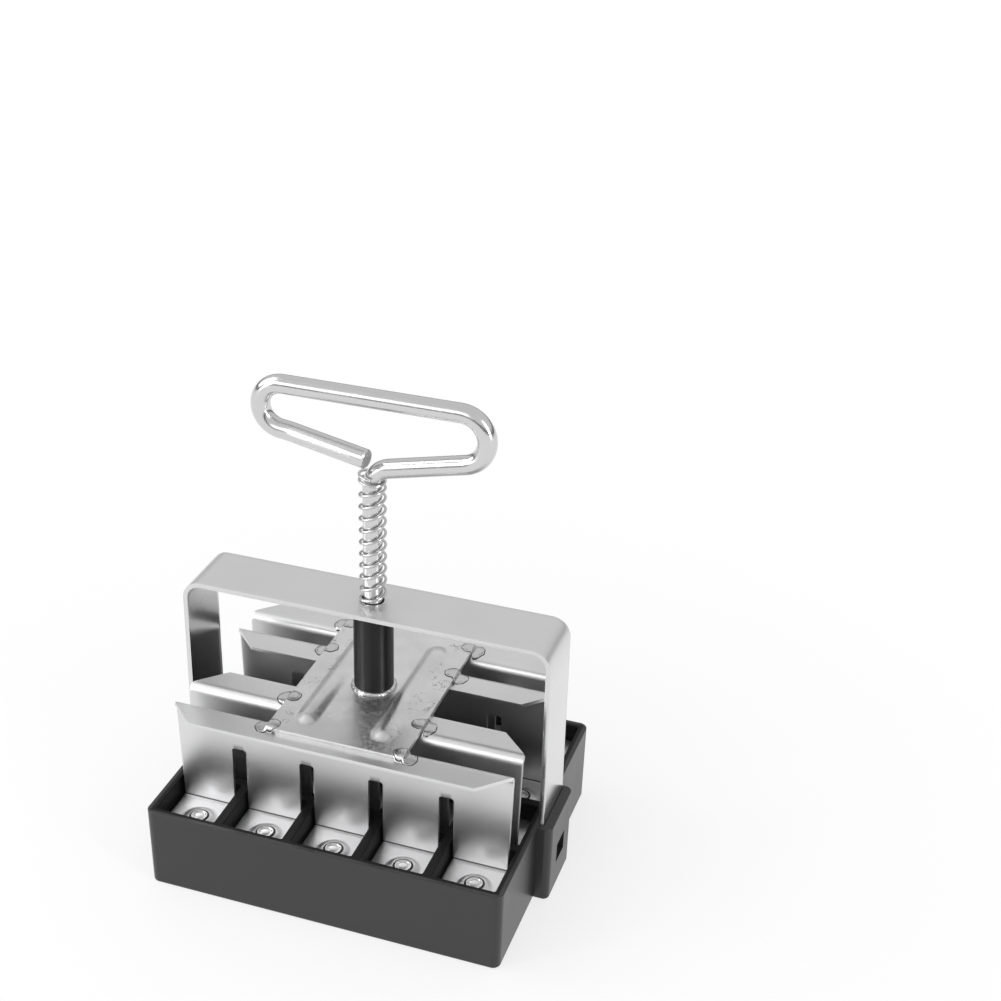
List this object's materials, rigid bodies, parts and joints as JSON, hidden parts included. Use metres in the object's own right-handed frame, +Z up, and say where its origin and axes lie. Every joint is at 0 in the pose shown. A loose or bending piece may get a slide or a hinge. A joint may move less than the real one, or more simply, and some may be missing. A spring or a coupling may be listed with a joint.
{
  "type": "soil blocker",
  "caption": "Hand soil blocker: black cell tray with a steel carry band and a sprung plunger whose combs eject small square seed blocks.",
  "frame": {"origin": "middle of the tray's bottom face, on the surface that the blocker stands on", "axes": "+X along the five cells of a row, -Y the front, +Z up along the plunger rod"},
  "size_m": [0.127, 0.0944, 0.1623],
  "materials": {
    "moulded_tray": "satin moulded ABS",
    "sheet_steel": "bright cold-rolled stainless sheet",
    "drawn_wire": "bright plated drawn wire",
    "spring_wire": "bright spring wire",
    "black_sleeve": "gloss black coated tube",
    "dimple_pins": "turned and riveted",
    "weld_bead": "bare weld metal"
  },
  "bodies": {
    "frame": {"cell_tray": "moulded_tray", "carry_band": "sheet_steel", "return_spring": "spring_wire"},
    "plunger": {"handle_rod": "drawn_wire", "stop_sleeve": "black_sleeve", "sleeve_weld": "weld_bead", "rod_weld": "weld_bead", "plunger_plate": "sheet_steel", "comb_row_1": "sheet_steel", "comb_row_2": "sheet_steel", "comb_row_3": "sheet_steel", "comb_row_4": "sheet_steel", "dimple_pins_row_1": "dimple_pins", "dimple_pins_row_2": "dimple_pins", "dimple_pins_row_3": "dimple_pins", "dimple_pins_row_4": "dimple_pins", "weld_spots_row_1": "weld_bead", "weld_spots_row_2": "weld_bead", "weld_spots_row_3": "weld_bead", "weld_spots_row_4": "weld_bead"}
  },
  "joints": [
    {"name": "plunger_press", "type": "slide", "parent": "frame", "child": "plunger", "axis": [0, 0, -1], "range_m": [0, 0.0165], "stiffness_N_per_m": 3400, "springref_m": -0.004, "deforming": ["return_spring"]}
  ]
}
